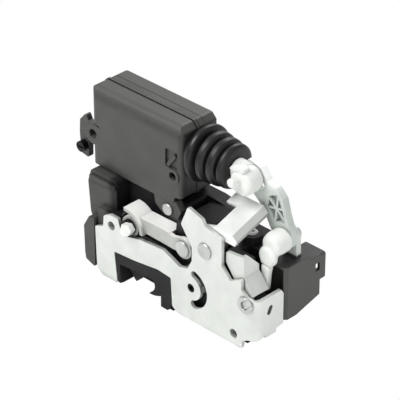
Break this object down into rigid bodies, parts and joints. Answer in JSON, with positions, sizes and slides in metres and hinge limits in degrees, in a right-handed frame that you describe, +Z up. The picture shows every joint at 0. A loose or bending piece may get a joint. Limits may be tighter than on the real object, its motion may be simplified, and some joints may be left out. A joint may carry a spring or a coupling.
{
  "type": "door latch actuator",
  "caption": "Vehicle door latch with an L-shaped face plate, striker fork, release and locking levers, and a bolted-on electric locking actuator with a bellows-sealed plunger.",
  "frame": {"origin": "centre of the lower right fixing hole, on the outer side of the face plate", "axes": "+X along the face plate to the return flange, +Y into the door, +Z up towards the actuator"},
  "size_m": [0.1429, 0.0542, 0.1029],
  "materials": {
    "zinc_plate": "zinc-plated pressing",
    "zinc_bright": "bright zinc-plated pressing",
    "cast_lever": "zinc casting, pale passivation",
    "black_plastic": "moulded black, satin",
    "grey_plastic": "moulded dark grey, satin",
    "white_plastic": "moulded natural white",
    "natural_nylon": "moulded translucent nylon",
    "switch_plastic": "moulded",
    "steel_screw": "zinc-plated screw",
    "dark_steel": "black-oxide screw",
    "steel_pin": "bright turned steel",
    "spring_steel": "oiled spring wire",
    "fork_steel": "fine-blanked steel",
    "motor_steel": "nickel-plated can",
    "rod_steel": "ground rod with moulded rack",
    "brass": "turned or stamped brass",
    "rubber": "moulded black rubber"
  },
  "bodies": {
    "latch": {"face_plate": "zinc_plate", "latch_housing": "black_plastic", "rear_cover": "black_plastic", "back_plate": "zinc_plate", "housing_screws": "steel_screw", "fork_pin": "steel_pin", "locking_rivet": "steel_pin", "inner_pin": "steel_pin", "bellcrank_pin": "steel_pin", "housing_stud": "steel_pin", "lever_stop": "white_plastic", "striker_buffer": "rubber", "microswitch": "switch_plastic", "connector_body": "grey_plastic", "connector_terminals": "brass", "crank_pin": "steel_pin", "actuator_front_shell": "grey_plastic", "actuator_rear_cover": "grey_plastic", "actuator_screws": "steel_screw", "fixing_screw": "dark_steel", "actuator_rivet": "steel_pin", "gear_pin": "steel_pin", "motor": "motor_steel", "rod_guide": "white_plastic", "fork_spring": "spring_steel", "pawl_spring": "spring_steel", "outside_lever_spring": "spring_steel", "bellows": "rubber"},
    "fork": {"fork_core": "fork_steel", "fork_coating": "black_plastic"},
    "pawl": {"pawl": "fork_steel"},
    "outside_release": {"outside_release_lever": "cast_lever", "outside_lever_pin": "steel_pin"},
    "inside_release": {"inside_release_lever": "zinc_plate"},
    "lock_lever": {"lock_lever": "zinc_bright"},
    "bellcrank": {"locking_bellcrank": "white_plastic"},
    "lock_link": {"link_arm": "natural_nylon", "lock_crank": "white_plastic"},
    "plunger": {"plunger": "rod_steel", "rod_end_clip": "white_plastic"},
    "drive_gear": {"drive_gear": "white_plastic"},
    "motor_pinion": {"motor_pinion": "brass"}
  },
  "joints": [
    {"name": "plunger_slide", "type": "slide", "parent": "latch", "child": "plunger", "axis": [1, 0, 0], "range_m": [0, 0.014], "deforming": ["bellows"]},
    {"name": "fork_turn", "type": "hinge", "parent": "latch", "child": "fork", "pos_m": [-0.065, 0.0077, 0.0084], "axis": [0, 1, 0], "range_deg": [0, 44]},
    {"name": "outside_release_turn", "type": "hinge", "parent": "latch", "child": "outside_release", "pos_m": [-0.0765, 0.0058, 0.0286], "axis": [0, 1, 0], "range_deg": [0, 5]},
    {"name": "pawl_turn", "type": "hinge", "parent": "latch", "child": "pawl", "pos_m": [-0.0201, 0.009, 0.04], "axis": [0, -1, 0], "range_deg": [0, 13]},
    {"name": "inside_release_turn", "type": "hinge", "parent": "latch", "child": "inside_release", "pos_m": [0.0084, 0.0034, 0.0212], "axis": [0, 1, 0], "range_deg": [0, 8]},
    {"name": "lock_lever_turn", "type": "hinge", "parent": "latch", "child": "lock_lever", "pos_m": [-0.0201, 0.0034, 0.04], "axis": [0, 1, 0], "range_deg": [0, 8]},
    {"name": "bellcrank_turn", "type": "hinge", "parent": "latch", "child": "bellcrank", "pos_m": [-0.0301, 0.0034, 0.0132], "axis": [0, -1, 0], "range_deg": [0, 24]},
    {"name": "lock_link_turn", "type": "hinge", "parent": "latch", "child": "lock_link", "pos_m": [0.0085, 0.029, 0.048], "axis": [0, 1, 0], "range_deg": [0, 21.82]},
    {"name": "drive_gear_turn", "type": "hinge", "parent": "latch", "child": "drive_gear", "pos_m": [-0.078, 0.022, 0.068], "axis": [0, 1, 0], "range_deg": [0, 134.19]},
    {"name": "motor_pinion_turn", "type": "hinge", "parent": "latch", "child": "motor_pinion", "pos_m": [-0.09255, 0.017, 0.0596], "axis": [0, 1, 0], "range_deg": [-428.81, 0]}
  ],
  "couplings": [
    {"joint": "lock_link_turn", "follows": "plunger_slide", "rad_per_m": 27.2},
    {"joint": "lock_lever_turn", "follows": "plunger_slide", "rad_per_m": 9.9723},
    {"joint": "bellcrank_turn", "follows": "plunger_slide", "rad_per_m": 29.917},
    {"joint": "drive_gear_turn", "follows": "plunger_slide", "rad_per_m": 166.67},
    {"joint": "motor_pinion_turn", "follows": "plunger_slide", "rad_per_m": -533.33},
    {"joint": "pawl_turn", "follows": "outside_release_turn", "ratio": 2.6}
  ]
}
